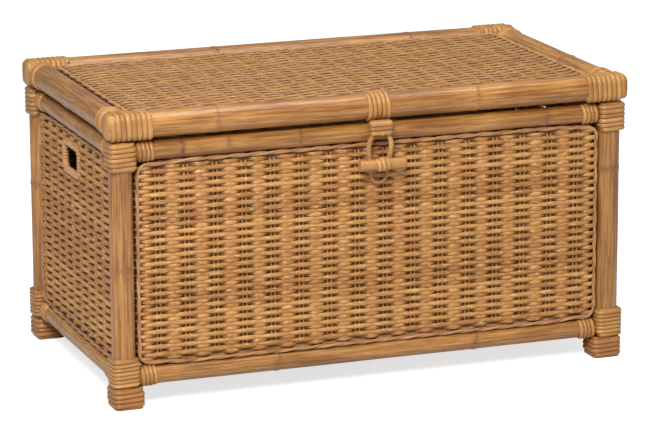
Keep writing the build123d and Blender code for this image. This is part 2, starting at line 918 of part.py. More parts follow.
with BuildPart() as toggle_peg:
    peg_start = Plane(
        origin=(latch_x - peg_long / 2, mid_y + peg_y, peg_z),
        x_dir=(1, 0, 0),
    )
    peg_stretches = [(peg_end, peg_r), (peg_neck, peg_neck_r), (peg_end, peg_r)]
    add(turned_pole(peg_start, peg_stretches))
    flats = toggle_peg.faces().filter_by(Axis.X).sort_by(Axis.X)
    chamfer((flats[0].edges(), flats[-1].edges()), peg_edge)
finish_part("toggle_peg", toggle_peg.part)

toggle_lashing = round_winding(
    "peg lashing",
    Vector(latch_x - lashing_length / 2, mid_y + peg_y, peg_z),
    Vector(1, 0, 0),
    Vector(0, -1, 0),
    lashing_r,
    lashing_pitch,
    lashing_crossings,
)
finish_part("toggle_lashing", toggle_lashing)

with BuildPart() as toggle_stem:
    head_y = mid_y - post_y + slab_in + 0.3
    stem_end = mid_y + peg_y + lashing_r + touch
    with BuildSketch(Plane(origin=(latch_x, head_y, peg_z), z_dir=(0, -1, 0))):
        Circle(stem_r)
    extrude(amount=head_y - stem_end)
    with BuildSketch(Plane(origin=(latch_x, head_y, peg_z), z_dir=(0, 1, 0))):
        Circle(stem_head_r)
    extrude(amount=stem_head)
finish_part("toggle_stem", toggle_stem.part)
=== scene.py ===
import json
import math
import random
from bisect import bisect_right

import bmesh
import bpy
from mathutils import Euler, Matrix, Vector, noise


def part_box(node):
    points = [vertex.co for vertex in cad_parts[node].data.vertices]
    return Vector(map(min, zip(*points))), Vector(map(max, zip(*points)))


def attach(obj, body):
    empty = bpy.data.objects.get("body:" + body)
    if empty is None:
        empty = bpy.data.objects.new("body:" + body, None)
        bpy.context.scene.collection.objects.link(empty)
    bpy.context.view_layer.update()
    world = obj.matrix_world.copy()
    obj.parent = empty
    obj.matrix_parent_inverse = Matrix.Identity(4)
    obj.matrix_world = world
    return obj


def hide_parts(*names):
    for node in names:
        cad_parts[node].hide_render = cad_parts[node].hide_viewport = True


# A wicker storage chest: rattan poles bound with cane, woven walls and lid, hinges behind, and a
# cane loop and wooden peg in front. Metres, Z up, front towards -Y. Places come from the frame.

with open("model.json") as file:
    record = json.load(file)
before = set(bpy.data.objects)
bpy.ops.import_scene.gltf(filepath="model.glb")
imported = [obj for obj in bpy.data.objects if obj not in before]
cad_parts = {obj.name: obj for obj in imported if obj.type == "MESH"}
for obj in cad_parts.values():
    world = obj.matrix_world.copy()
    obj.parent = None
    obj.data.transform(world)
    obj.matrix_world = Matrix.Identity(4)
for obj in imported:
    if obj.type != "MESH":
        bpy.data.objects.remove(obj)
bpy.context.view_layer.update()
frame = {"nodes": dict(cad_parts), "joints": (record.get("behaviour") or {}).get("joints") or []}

ACROSS = Vector((1, 0, 0))
BACKWARDS = Vector((0, 1, 0))
UP = Vector((0, 0, 1))

# Cane windings: how far apart their turns lie, how many cross the side that shows, how proud
turn_gap = 0.00045
proud = 0.0026
post_wrap_half = 0.0206
post_wrap_corner = 0.009
post_top_wrap = (0.3476, 0.3908, 6)
post_foot_wrap = (0.0326, 0.0756, 7)
foot_wrap_half = 0.0235
foot_wrap = (0.0016, 0.0314, 4)
rail_wrap_pitch = 0.0061
rail_wrap_crossings = 4
rail_wrap_from_post = 0.0212
lid_wrap_pitch = 0.0077
lid_wrap_crossings = 8
lid_wrap_from_end = 0.0018
lid_wrap_corner = 0.0125
lid_wrap_bedded = 0.001
lid_side_crossings = 3
lid_side_wrap_past = 0.0005
lid_block_past = 0.0008
lid_block_short = 0.002
lid_block_edge = 0.0045
tuck_reach = 0.012
wrap_step = 0.0032
strap_pitch = 0.007
strap_crossings = 5
lashing_pitch = 0.0069
lashing_crossings = 3

# Walls: every second row of cane passes before the pairs of stakes, and the others behind them
wall_row = 0.0056
wall_rows = 55
row_half_high = 0.0031
row_half_deep = 0.0023
stake_radius = 0.0019
half_pair = 0.003
stake_end_sunk = 0.007
long_columns = 16
long_column_pitch = 0.0434
short_columns = 9
short_column_pitch = 0.0375
behind = 0.0079
past_cord = 0.005
# Painted shade on the walls: the depth where the outer side of the weave starts to darken, and how
# far on it is fully dark
wall_shade_from = 0.0052
wall_shade_reach = 0.005
wall_steps = 8
wall_wander = 0.0004
wall_stake_wander = 0.0012
wall_dip_reach = 0.0142
wall_between_reach = 0.009
wall_between_deep = 0.0015
wall_edge_reach = 0.009
wall_edge_deep = 0.007
outer_row_sunk = 0.006

# Lid and base: a coarser weave of doubled strands on single stakes, before one and behind the next
flat_row = 0.00875
flat_columns = 27
flat_column_pitch = 0.0258
flat_half_high = 0.0025
flat_half_deep = 0.002
flat_relief = 0.0003
# Painted shade on the lid and base: the depth where the outer side of the weave starts to darken,
# and how far on it is fully dark
flat_shade_from = 0.0006
flat_shade_reach = 0.0007
flat_tone = 0.05
flat_steps = 6
flat_wander = 0.0014
flat_drift = 0.0005
flat_near = 0.03
flat_dip_reach = 0.0056
flat_dip_deep = 0.0082
flat_edge_reach = 0.008
flat_edge_deep = 0.005
base_corner = 0.008
base_raised = 0.002

# Every row and stake: how its tone and thickness vary, and how far its ends sink past the cord
row_tone_spread = 0.16
row_girth_spread = 0.05
row_uneven = 0.07
row_end_sunk = 0.01
stake_step = 0.018
stake_wander = 0.0004
rail_touch = 0.0002

# Edge cords: two strands twisted together
trim_corner = 0.014
cord_pitch = 0.064
cord_strand_share = 0.64
cord_turn_steps = 20
cord_swell = 0.0023
cord_swell_from_corner = 0.024
cord_swell_rise = 0.03

# Poles: how finely they are made, their joints' rings and scars, and how far they sway
pole_step = 0.014
pole_sides = 32
ring_width = 0.0032
ring_height = 0.0008
scar_width = 0.0055
pole_sway = 0.0003
lid_pole_end_round = 0.003

# Hand-holds
hold_corner = 0.012
hold_wrap_pitch = 0.0048
hold_wrap_proud = 0.0016

# Latch
latch_tilt = math.radians(6.6)
tab_half_deep = 0.0079
tab_corner = 0.0045
tab_raised = 0.0014
tab_crossings = 3
tab_crossings_high = 3.18
tab_start = 0.16
tab_core_short = 0.0004
stitch_size = (0.0036, 0.0013)
stitch_place = 0.001
loop_neck = 0.0103
loop_belly = 0.0183
loop_foot = 0.0116
loop_downs = (0.016, 0.031, 0.0905)
loop_wrap_pitch = 0.0032
loop_leg_radius = 0.0041
loop_below_belly = ((0.0162, -0.048), (0.0135, -0.066))
loop_strand_half = (0.00155, 0.0011)
loop_strand_bedded = 0.0003
loop_foot_round = 0.006
loop_thins = 0.3
loop_thins_from = 0.062
loop_thins_over = 0.02
loop_bare_from = 0.068
loop_bare_over = 0.006
loop_bare_sunk = 0.0014
peg_end_round = 0.0016

# The photograph's viewpoint
camera_place = (-1.7763, -4.7539, 1.4563)
camera_yaw = 20.516
camera_pitch = 13.874
camera_roll = -0.189
camera_lens = 191.95

corners = {
    "front_left": (-1, -1),
    "front_right": (1, -1),
    "back_left": (-1, 1),
    "back_right": (1, 1),
}
walls = {
    "front": (ACROSS, -BACKWARDS),
    "back": (-ACROSS, BACKWARDS),
    "left": (-BACKWARDS, -ACROSS),
    "right": (BACKWARDS, ACROSS),
}


def centre(node):
    low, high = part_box(node)
    return (low + high) / 2


def half(node):
    low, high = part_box(node)
    return (high - low) / 2


# Materials


class Signal:
    """A socket in a material. Arithmetic on it adds the Math nodes."""

    def __init__(self, tree, socket=None):
        self.tree = tree
        self.socket = socket

    def node(self, kind, settings, inputs, output=0):
        made = self.tree.nodes.new(kind)
        for key, value in settings.items():
            if key == "stops":
                self.set_stops(made.color_ramp, value)
            else:
                setattr(made, key, value)
        for key, value in inputs.items():
            if isinstance(value, Signal):
                self.tree.links.new(value.socket, made.inputs[key])
            else:
                made.inputs[key].default_value = value
        return Signal(self.tree, made.outputs[output])

    @staticmethod
    def set_stops(ramp, stops):
        while len(ramp.elements) < len(stops):
            ramp.elements.new(0.5)
        for element, (place, level) in zip(ramp.elements, stops):
            element.position = place
            element.color = (level, level, level, 1)

    def maths(self, operation, first, second):
        return self.node("ShaderNodeMath", {"operation": operation}, {0: first, 1: second})

    def __add__(self, other):
        return self.maths("ADD", self, other)

    def __radd__(self, other):
        return self.maths("ADD", other, self)

    def __sub__(self, other):
        return self.maths("SUBTRACT", self, other)

    def __rsub__(self, other):
        return self.maths("SUBTRACT", other, self)

    def __mul__(self, other):
        return self.maths("MULTIPLY", self, other)

    def __rmul__(self, other):
        return self.maths("MULTIPLY", other, self)


def mix(start, share, first, second):
    """One colour into another by a share from 0 to 1."""
    settings = {"data_type": "RGBA"}
    return start.node("ShaderNodeMix", settings, {0: share, 6: first, 7: second}, 2)


def streaks(start, along, round_it, detail=2.0):
    """Fibres that run along a strand or a pole, by its own straight shape in metres."""
    shape = start.node("ShaderNodeAttribute", {"attribute_name": "straight"}, {}, "Vector")
    scale = (along, round_it, round_it)
    scaled = start.node("ShaderNodeMapping", {}, {"Vector": shape, "Scale": scale})
    return start.node(
        "ShaderNodeTexNoise", {}, {"Vector": scaled, "Scale": 1.0, "Detail": detail}, "Fac"
    )


def clouds(start, scale, detail=2.0):
    """Slow change through the whole piece."""
    place = start.node("ShaderNodeTexCoord", {}, {}, "Object")
    return start.node(
        "ShaderNodeTexNoise", {}, {"Vector": place, "Scale": scale, "Detail": detail}, "Fac"
    )


def ramp(start, value, *stops):
    return start.node("ShaderNodeValToRGB", {"stops": stops}, {"Fac": value})


def attribute(start, name):
    return start.node("ShaderNodeAttribute", {"attribute_name": name}, {}, "Fac")


def begin(name, roughness, coat=0.0):
    """A new material, with the first signal of its tree and its shader."""
    material = bpy.data.materials.new(name)
    material.use_nodes = True
    shader = material.node_tree.nodes["Principled BSDF"]
    shader.inputs["Roughness"].default_value = roughness
    shader.inputs["Coat Weight"].default_value = coat
    shader.inputs["Coat Roughness"].default_value = 0.22
    return material, Signal(material.node_tree), shader


def feed(shader, start, colour=None, roughness=None, height=None, depth=0.0002):
    """Links a colour, a roughness and a bump height to the shader."""
    links = start.tree.links
    if colour:
        links.new(colour.socket, shader.inputs["Base Color"])
    if roughness:
        links.new(roughness.socket, shader.inputs["Roughness"])
    if height:
        bump = start.node("ShaderNodeBump", {}, {"Distance": depth, "Height": height})
        links.new(bump.socket, shader.inputs["Normal"])


def pole_rattan():
    """Varnished rattan pole: fine dark fibres, slow patches, and scars at its joints."""
    material, start, shader = begin("rattan_pole", 0.38, 0.6)
    fibre = streaks(start, 14, 700)
    grain = streaks(start, 9, 240, 3.0)
    pores = ramp(start, streaks(start, 40, 1100, 1.0), (0.56, 0.0), (0.66, 1.0))
    patches = clouds(start, 12.0)
    tone = fibre * 0.45 + grain * 0.8 + patches * 0.45 + attribute(start, "tone") - 0.35
    share = ramp(start, tone, (0.32, 0.0), (0.68, 1.0))
    colour = mix(start, share, (0.245, 0.088, 0.014, 1), (0.56, 0.265, 0.064, 1))
    colour = mix(start, pores * 0.55, colour, (0.13, 0.04, 0.008, 1))
    scar = attribute(start, "joint") * ramp(start, clouds(start, 120.0), (0.35, 0.3), (0.6, 1.0))
    colour = mix(start, scar, colour, (0.13, 0.045, 0.02, 1))
    feed(shader, start, colour, 0.32 + 0.2 * fibre, fibre - 0.4 * pores)
    return material


def binding_cane(name, dark, light):
    """Flat cane strand, glossy, its colour changing slowly along its length."""
    material, start, shader = begin(name, 0.36, 0.2)
    fibre = streaks(start, 30, 1500)
    along = streaks(start, 16, 30, 1.0)
    tone = along * 0.9 + fibre * 0.4 + attribute(start, "tone") - 0.15
    share = ramp(start, tone, (0.3, 0.0), (0.8, 1.0))
    colour = mix(start, share, dark, light)
    feed(shader, start, colour, 0.28 + 0.22 * fibre, fibre)
    return material


def woven_cane():
    """Round cane core of the weave, each strand of its own tone, mottled along its length, with
    painted glints of light on it and painted shade in the weave's recesses.
    """
    material, start, shader = begin("woven_cane", 0.42, 0.1)
    fibre = streaks(start, 40, 1300)
    along = streaks(start, 26, 40, 2.0)
    flecks = ramp(start, streaks(start, 110, 600, 1.0), (0.6, 0.0), (0.72, 1.0))
    painted_glints = ramp(start, streaks(start, 130, 420, 1.0), (0.56, 0.0), (0.7, 1.0))
    tone = along * 0.8 + fibre * 0.35 + attribute(start, "tone") - 0.1
    share = ramp(start, tone, (0.3, 0.0), (0.85, 1.0))
    colour = mix(start, share, (0.36, 0.145, 0.033, 1), (0.66, 0.345, 0.106, 1))
    colour = mix(start, flecks * 0.5, colour, (0.18, 0.06, 0.016, 1))
    # Painted highlights: pale flecks along the strands stand in for glints of light
    colour = mix(start, painted_glints * 0.45, colour, (0.85, 0.56, 0.25, 1))
    # Painted shade: the deep places on the weave's outer side go towards near black, by the shade
    # attribute
    colour = mix(start, attribute(start, "shade"), colour, (0.07, 0.024, 0.007, 1))
    feed(shader, start, colour, 0.32 + 0.2 * fibre, fibre)
    return material


def peg_wood():
    material, start, shader = begin("peg_wood", 0.4, 0.5)
    fibre = streaks(start, 25, 1100)
    share = ramp(start, fibre * 0.8 + clouds(start, 30.0) * 0.4, (0.35, 0.0), (0.8, 1.0))
    colour = mix(start, share, (0.3, 0.12, 0.03, 1), (0.56, 0.28, 0.085, 1))
    feed(shader, start, colour, 0.34 + 0.2 * fibre, fibre)
    return material


def hinge_brass():
    """Aged brass, browner and rougher in patches."""
    material, start, shader = begin("hinge_brass", 0.35)
    shader.inputs["Metallic"].default_value = 1.0
    patches = clouds(start, 90.0, 4.0)
    share = ramp(start, patches, (0.4, 0.0), (0.65, 1.0))
    colour = mix(start, share, (0.5, 0.34, 0.13, 1), (0.24, 0.15, 0.07, 1))
    feed(shader, start, colour, 0.26 + 0.35 * patches, patches, 0.0001)
    return material


finishes = {
    "rattan_pole": pole_rattan(),
    "binding_cane": binding_cane("binding_cane", (0.33, 0.135, 0.03, 1), (0.62, 0.335, 0.105, 1)),
    "foot_cane": binding_cane("foot_cane", (0.29, 0.105, 0.024, 1), (0.52, 0.235, 0.065, 1)),
    "woven_cane": woven_cane(),
    "trim_cane": binding_cane("trim_cane", (0.3, 0.125, 0.045, 1), (0.52, 0.27, 0.12, 1)),
    "loop_cane": binding_cane("loop_cane", (0.3, 0.12, 0.035, 1), (0.58, 0.3, 0.1, 1)),
    "peg_wood": peg_wood(),
    "hinge_brass": hinge_brass(),
}


# Strands: each is made straight along x and then laid on its route


def remember(bm, tone):
    """Keeps each point's place on the straight strand, for the fibres, and the strand's tone."""
    straight = bm.verts.layers.float_vector.new("straight")
    tones = bm.verts.layers.float.new("tone")
    apart = Vector((0, 0, random.uniform(0, 9)))
    for vertex in bm.verts:
        vertex[straight] = vertex.co + apart
        vertex[tones] = tone


def bar(section, start, end, steps, capped=True):
    """A straight strand from start to end along x. Its section's corners are (across, out)."""
    bm = bmesh.new()
    sides = len(section)
    bmesh.ops.create_grid(bm, x_segments=steps, y_segments=sides, size=0.5)
    for vertex in bm.verts:
        along = round((vertex.co.x + 0.5) * steps) / steps
        across, out = section[round((vertex.co.y + 0.5) * sides) % sides]
        vertex.co = (start + (end - start) * along, across, out)
    bmesh.ops.remove_doubles(bm, verts=bm.verts, dist=0.000001)
    if capped:
        rims = [edge for edge in bm.edges if edge.is_boundary]
        bmesh.ops.holes_fill(bm, edges=rims, sides=0)
    return bm


def round_section(half_across, half_out, sides=8):
    turns = [2 * math.pi * (side + 0.5) / sides for side in range(sides)]
    return [(half_across * math.cos(turn), half_out * math.sin(turn)) for turn in turns]


def flat_section(width, thick):
    """Half-round cane: a rounded back, and a flat face that reaches a little below zero."""
    back = 7
    section = []
    for place in range(back):
        turn = math.pi * place / (back - 1)
        section.append((width / 2 * math.cos(turn), thick * math.sin(turn) ** 0.6))
    below = -0.15 * thick
    return section + [(-width / 2, below), (width / 2, below)]


def lay(bm, route, size=None, tone=0.0, closed=False):
    """Bends a straight strand along its route, which gives a point and the way out of it.

    size gives the shares of the section's width and thickness at a distance.
    """
    remember(bm, tone)
    distances = sorted({round(vertex.co.x, 6) for vertex in bm.verts})
    spots = [route(distance) for distance in distances]
    last = len(spots) - 1
    stations = {}
    for index, distance in enumerate(distances):
        point, away = spots[index]
        before, after = max(index - 1, 0), min(index + 1, last)
        if closed and index in (0, last):
            before, after = last - 1, 1
        ahead = (spots[after][0] - spots[before][0]).normalized()
        away = (away - ahead * away.dot(ahead)).normalized()
        wide, thick = size(distance) if size else (1, 1)
        stations[distance] = (point, away.cross(ahead) * wide, away * thick)
    for vertex in bm.verts:
        distance, across, out = vertex.co
        point, sideways, away = stations[round(distance, 6)]
        vertex.co = point + sideways * across + away * out
    if closed:
        bmesh.ops.remove_doubles(bm, verts=bm.verts, dist=0.0001)
    bmesh.ops.recalc_face_normals(bm, faces=bm.faces)
    return bm


def rounded(half_x, half_y, corner):
    """A function that gives the point and outward way at a distance round a rounded rectangle."""
    run_x = half_x - corner
    run_y = half_y - corner
    quarter = math.pi * corner / 2
    part = run_x + run_y + quarter

    def at(distance):
        side, rest = divmod(distance, part)
        first, second = (run_x, run_y) if side % 2 else (run_y, run_x)
        if rest < first:
            angle = 0
            point = Vector((second + corner, rest, 0))
        elif rest < first + quarter:
            angle = (rest - first) / corner
            point = Vector((second + corner * math.cos(angle), first + corner * math.sin(angle), 0))
        else:
            angle = math.pi / 2
            point = Vector((second - rest + first + quarter, first + corner, 0))
        turned = Matrix.Rotation(side * math.pi / 2, 3, "Z")
        return turned @ point, turned @ Vector((math.cos(angle), math.sin(angle), 0))

    return at, 4 * part


def shaded(bm, start, reach):
    """Marks how deep the outer side of a weave lies, for the painted shade that darkens its
    recesses.
    """
    shade = bm.verts.layers.float.new("shade")
    bm.normal_update()
    for vertex in bm.verts:
        if vertex.normal.z > -0.7:
            vertex[shade] = min(1, max(0, (-vertex.co.z - start) / reach))
    return bm


def joined(parts):
    """Several strands as one bmesh."""
    whole = bmesh.new()
    for part in parts:
        mesh = bpy.data.meshes.new("part")
        part.to_mesh(mesh)
        part.free()
        whole.from_mesh(mesh)
        bpy.data.meshes.remove(mesh)
    return whole


def stand(origin, x_way, z_way):
    """The matrix from a local frame to its place."""
    turned = Matrix((x_way, z_way.cross(x_way), z_way)).transposed()
    return Matrix.Translation(origin) @ turned.to_4x4()


def placed(bm, matrix):
    bmesh.ops.transform(bm, matrix=matrix, verts=bm.verts)
    return bm


def piece(name, bm, slot, body, *replaced):
    """A finished piece of the object, with its material and the body that it rides on."""
    mesh = bpy.data.meshes.new(name)
    bm.to_mesh(mesh)
    bm.free()
    mesh.shade_smooth()
    mesh.materials.append(finishes[slot])
    made = bpy.data.objects.new(name, mesh)
    bpy.context.scene.collection.objects.link(made)
    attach(made, body)
    if replaced:
        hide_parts(*replaced)
    return made


def tucked(distance, length):
    """How far a strand's ends sink, from 1 at the very end to 0 after a short way."""
    share = min(distance, length - distance) / tuck_reach
    return 1 - min(1, max(0, share)) ** 0.5


def wrap(half_x, half_y, corner, pitch, crossings, tone=0.0, lead=0.0, level=0.0):
    """One strand wound round a pole that stands on z, with its ends sunk under the cane.

    It starts on the x axis, or lead turns later. level is how much it lies flat a quarter turn
    on, and climbs on the far side instead.
    """
    at, girth = rounded(half_x, half_y, corner)
    length = (crossings - 0.5) * girth
    width = pitch - turn_gap

    def route(distance):
        point, away = at(distance + lead * girth)
        turn = distance / girth
        turn += level / (2 * math.pi) * math.cos(2 * math.pi * turn)
        sink = proud * tucked(distance, length)
        return point - away * sink + UP * (turn * pitch + width / 2), away

    steps = max(20, round(length / wrap_step))
    return lay(bar(flat_section(width, proud), 0, length, steps), route, tone=tone)


def round_wrap(radius, pitch, crossings, tone=0.0):
    return wrap(radius, radius, radius, pitch, crossings, tone)


# Poles


def pole(length, radius, joints=(), seed=0, end_round=0.0):
    """A rattan pole along x from 0, a little uneven, with a scarred ring at each joint."""
    steps = round(length / pole_step)
    places = {length * step / steps for step in range(1, steps)}
    for joint, _ in joints:
        places |= {joint + ring_width * share for share in (-3, -2, -1.2, -0.6, 0, 0.6, 1.2, 2, 3)}
    if end_round:
        places = {x for x in places if end_round * 1.2 < x < length - end_round * 1.2}
        turns = [math.pi / 2 * share / 5 for share in range(6)]
        rise = [(end_round * (1 - math.cos(t)), end_round * (math.sin(t) - 1)) for t in turns]
    else:
        rise = [(0, 0)]
    outline = [(0, 0)] + [(x, radius + drop) for x, drop in rise]
    for x in sorted(places):
        ring = sum(math.exp(-(((x - joint) / ring_width) ** 2)) for joint, _ in joints)
        outline.append((x, radius + ring_height * ring))
    outline += [(length - x, radius + drop) for x, drop in reversed(rise)] + [(length, 0)]
    bm = bmesh.new()
    points = [bm.verts.new((x, 0, r)) for x, r in outline]
    edges = [bm.edges.new(pair) for pair in zip(points, points[1:])]
    bmesh.ops.spin(
        bm,
        geom=points + edges,
        cent=(0, 0, 0),
        axis=(1, 0, 0),
        dvec=(0, 0, 0),
        angle=2 * math.pi,
        steps=pole_sides,
        use_merge=True,
        use_duplicate=False,
    )
    bmesh.ops.remove_doubles(bm, verts=bm.verts, dist=0.00005)
    bmesh.ops.recalc_face_normals(bm, faces=bm.faces)
    random.seed(seed)
    remember(bm, random.uniform(-0.06, 0.06))
    scar = bm.verts.layers.float.new("joint")
    for vertex in bm.verts:
        x = vertex.co.x
        near = [depth * math.exp(-(((x - joint) / scar_width) ** 2)) for joint, depth in joints]
        vertex[scar] = max(near, default=0)
        sway = noise.noise(Vector((x * 9, seed, 0))) * pole_sway
        lean = noise.noise(Vector((x * 9, seed, 9))) * pole_sway
        vertex.co += Vector((0, sway, lean))
    return bm


def corner_seed(side_x, side_y):
    return 11 + 5 * side_x + 2 * side_y


# Where the posts' joints lie above their lower ends, and how deep their scars are
post_joints = {
    "front_left": ((0.175, 0.2),),
    "front_right": ((0.258, 0.6),),
    "back_left": ((0.21, 0.5),),
    "back_right": ((0.14, 0.6),),
}


def make_post(corner, side_x, side_y):
    """A round pole, squared by its packing where the cane goes round it."""
    node = f"post_{corner}"
    low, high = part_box(node)
    middle = centre(node)
    radius = half(node).x
    shaft = pole(high.z - low.z, radius, post_joints[corner], corner_seed(side_x, side_y))
    placed(shaft, stand(Vector((middle.x, middle.y, low.z)), UP, ACROSS))
    parts = [shaft]
    core = post_wrap_half - proud
    for bottom, top, _ in (post_top_wrap, post_foot_wrap):
        block = squared_block(core, core, post_wrap_corner - proud, bottom + 0.001, top - 0.0004)
        parts.append(placed(block, Matrix.Translation((middle.x, middle.y, 0))))
    piece(f"pole_post_{corner}", joined(parts), "rattan_pole", "chest", node)


def squared_block(half_x, half_y, corner, bottom, top, edge=0.0012):
    """An upright block with rounded corners and softened rims, on z."""
    bm = bmesh.new()
    bmesh.ops.create_cube(bm, size=1)
    bmesh.ops.scale(bm, vec=(2 * half_x, 2 * half_y, top - bottom), verts=bm.verts)
    bmesh.ops.translate(bm, vec=(0, 0, (top + bottom) / 2), verts=bm.verts)
    upright = [e for e in bm.edges if abs(e.verts[0].co.z - e.verts[1].co.z) > edge]
    bmesh.ops.bevel(
        bm, geom=upright, offset=corner, segments=6, profile=0.5, affect="EDGES", material=-1
    )
    rims = [e for e in bm.edges if abs(e.verts[0].co.z - e.verts[1].co.z) < edge / 10]
    bmesh.ops.bevel(bm, geom=rims, offset=edge, segments=3, profile=0.5, affect="EDGES", material=-1)
    remember(bm, 0.0)
    bm.verts.layers.float.new("joint")
    return bm


def first_way(side_x, side_y):
    """The way that a corner's first outer face runs, anticlockwise seen from above."""
    if side_x * side_y < 0:
        return ACROSS * side_x
    return BACKWARDS * side_y


def square_wrap(middle, way, wrap_half, span, tone):
    """A winding round a squared post or foot, whose first face runs along way."""
    bottom, top, crossings = span
    pitch = (top - bottom + turn_gap) / (crossings + 0.5)
    inner = wrap_half - proud
    corner = post_wrap_corner - proud
    strand = wrap(inner, inner, corner, pitch, crossings, tone, 1 / 8)
    return placed(strand, stand(Vector((middle.x, middle.y, bottom)), -way, UP))


def rail_end_wraps(level, corner, side_x, side_y, seed):
    """The cane round the ends of the two rails that meet a post at one level."""
    strands = []
    for place, away, along in (
        ("front" if side_y < 0 else "back", BACKWARDS * side_y, -ACROSS * side_x),
        ("left" if side_x < 0 else "right", ACROSS * side_x, -BACKWARDS * side_y),
    ):
        rail = centre(f"{level}_rail_{place}")
        post = centre(f"post_{corner}")
        origin = Vector((post.x, post.y, rail.z)) + along * rail_wrap_from_post
        radius = half(f"{level}_rail_{place}").z
        random.seed(seed + len(strands))
        strand = round_wrap(
            radius, rail_wrap_pitch, rail_wrap_crossings, tone=random.uniform(-0.08, 0.08)
        )
        strands.append(placed(strand, stand(origin, away.cross(along), along)))
    return strands


def make_corner(corner, side_x, side_y):
    """The cane at the top and bottom of one post, and the foot below it."""
    seed = corner_seed(side_x, side_y)
    random.seed(seed)
    post = centre(f"post_{corner}")
    foot = centre(f"foot_{corner}")
    way = first_way(side_x, side_y)
    high = [square_wrap(post, way, post_wrap_half, post_top_wrap, random.uniform(-0.05, 0.05))]
    high += rail_end_wraps("top", corner, side_x, side_y, seed)
    piece(f"cane_top_{corner}", joined(high), "binding_cane", "chest", f"binding_top_{corner}")
    low = [square_wrap(post, way, post_wrap_half, post_foot_wrap, random.uniform(-0.05, 0.05))]
    low += rail_end_wraps("bottom", corner, side_x, side_y, seed + 3)
    piece(f"cane_low_{corner}", joined(low), "binding_cane", "chest", f"binding_bottom_{corner}")
    around = square_wrap(foot, way, foot_wrap_half, foot_wrap, 0.0)
    core = foot_wrap_half - proud
    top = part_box(f"foot_{corner}")[1].z
    block = squared_block(core, core, post_wrap_corner - proud, 0, top)
    placed(block, Matrix.Translation((foot.x, foot.y, 0)))
    piece(f"foot_block_{corner}", joined([block]), "rattan_pole", "chest", f"foot_{corner}")
    piece(f"foot_cane_{corner}", around, "foot_cane", "chest")


# Where each pole's joints lie from its left or front end, and how deep their scars are
rail_joints = {
    "top_rail_front": ((0.067, 1.0), (0.136, 0.5), (0.245, 0.4), (0.63, 0.5)),
    "bottom_rail_front": ((0.21, 0.5), (0.52, 0.6)),
    "top_rail_left": ((0.15, 0.5),),
    "bottom_rail_left": ((0.26, 0.6),),
    "top_rail_back": ((0.18, 0.8), (0.47, 0.6)),
    "bottom_rail_back": ((0.11, 0.5), (0.4, 0.8), (0.66, 0.5)),
    "top_rail_right": ((0.24, 0.6),),
    "bottom_rail_right": ((0.12, 0.6),),
    "lid_rail_front": ((0.16, 0.25), (0.56, 0.2)),
    "lid_rail_back": ((0.3, 0.6), (0.62, 0.5)),
    "lid_rail_left": ((0.2, 0.3),),
    "lid_rail_right": ((0.13, 0.5),),
}


def make_rail(node, body, end_round=0.0):
    """A level pole between two others."""
    low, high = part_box(node)
    size = high - low
    middle = centre(node)
    runs_x = size.x > size.y
    along = ACROSS if runs_x else BACKWARDS
    length = size.x if runs_x else size.y
    seed = 3 * list(rail_joints).index(node) + 1
    bm = pole(length, size.z / 2, rail_joints[node], seed, end_round)
    placed(bm, stand(middle - along * (length / 2), along, UP))
    piece(f"pole_{node}", bm, "rattan_pole", body, node)


# Woven panels


def dip(x, place, reach):
    """How far a strand that passes behind a stake has gone back, from 0 to 1."""
    return math.exp(-(abs((x - place) / reach) ** 3))


def column_places(columns, pitch):
    return [pitch * (column - (columns - 1) / 2) for column in range(columns)]


def reach_at(height, half_x, half_y, corner):
    """How far a row reaches sideways in a frame with round corners."""
    beyond = max(0, abs(height) - (half_y - corner))
    return half_x - corner + math.sqrt(max(0, corner**2 - beyond**2))


def weave_row(height, reach, section, waves, wander, opening, step, shift=0.0):
    """One row of cane across the stakes. waves gives its depth and its height at a place."""
    cord = reach
    reach = step * round((reach + past_cord) / step)
    spans = [(-reach, reach)]
    if opening and abs(height - opening[1]) < opening[3]:
        spans = [(-reach, opening[0] - opening[2]), (opening[0] + opening[2], reach)]
    tone = shift + random.uniform(-row_tone_spread, row_tone_spread)
    girth = random.uniform(1 - row_girth_spread, 1 + row_girth_spread)
    kind = random.uniform(0, 90)

    def route(x):
        depth, _ = waves(x, cord)
        past = min(1, max(0, (abs(x) - cord) / (0.5 * past_cord)))
        drift = noise.noise(Vector((x * 22, kind, 0))) * wander
        return Vector((x, height + drift, depth - row_end_sunk * past)), UP

    def size(x):
        uneven = noise.noise(Vector((x * 60, kind, 4))) * row_uneven
        return waves(x, cord)[1] * (girth + uneven), girth

    strands = []
    for start, end in spans:
        steps = max(2, round((end - start) / step))
        strands.append(lay(bar(section, start, end, steps), route, size, tone))
    return strands


def wall_strands(half_x, half_y, columns, column_pitch, opening, seed):
    """The rows of a wall, in a frame with z out of it. Odd rows go behind the pairs of stakes.

    Rows beyond the cord lie deeper, where the rails hide them.
    """
    random.seed(seed)
    places = column_places(columns, column_pitch)
    uneven_places = [
        place + random.uniform(-wall_stake_wander, wall_stake_wander) for place in places
    ]
    section = round_section(row_half_high, row_half_deep)

    def waves(x, cord, behind_pairs):
        pairs = max(dip(x, place, wall_dip_reach) for place in uneven_places)
        between = max(dip(x, place + column_pitch / 2, wall_between_reach) for place in places)
        edge = max(dip(x, cord, wall_edge_reach), dip(x, -cord, wall_edge_reach))
        if behind_pairs:
            return -row_half_deep - behind * pairs, 1.02 + 0.12 * between + 0.55 * pairs
        depth = -row_half_deep - wall_between_deep * between - wall_edge_deep * edge
        return depth, 0.9 + 0.26 * pairs + 0.4 * edge

    strands = []
    for row in range(wall_rows):
        order = row - wall_rows // 2
        height = order * wall_row
        reach = reach_at(height, half_x, half_y, trim_corner)
        sunk = outer_row_sunk if abs(height) > half_y else 0

        def row_waves(x, cord, behind_pairs=order % 2 == 1, sunk=sunk):
            depth, high = waves(x, cord, behind_pairs)
            return depth - sunk, high

        step = column_pitch / wall_steps
        strands += weave_row(height, reach, section, row_waves, wall_wander, opening, step)
    return strands


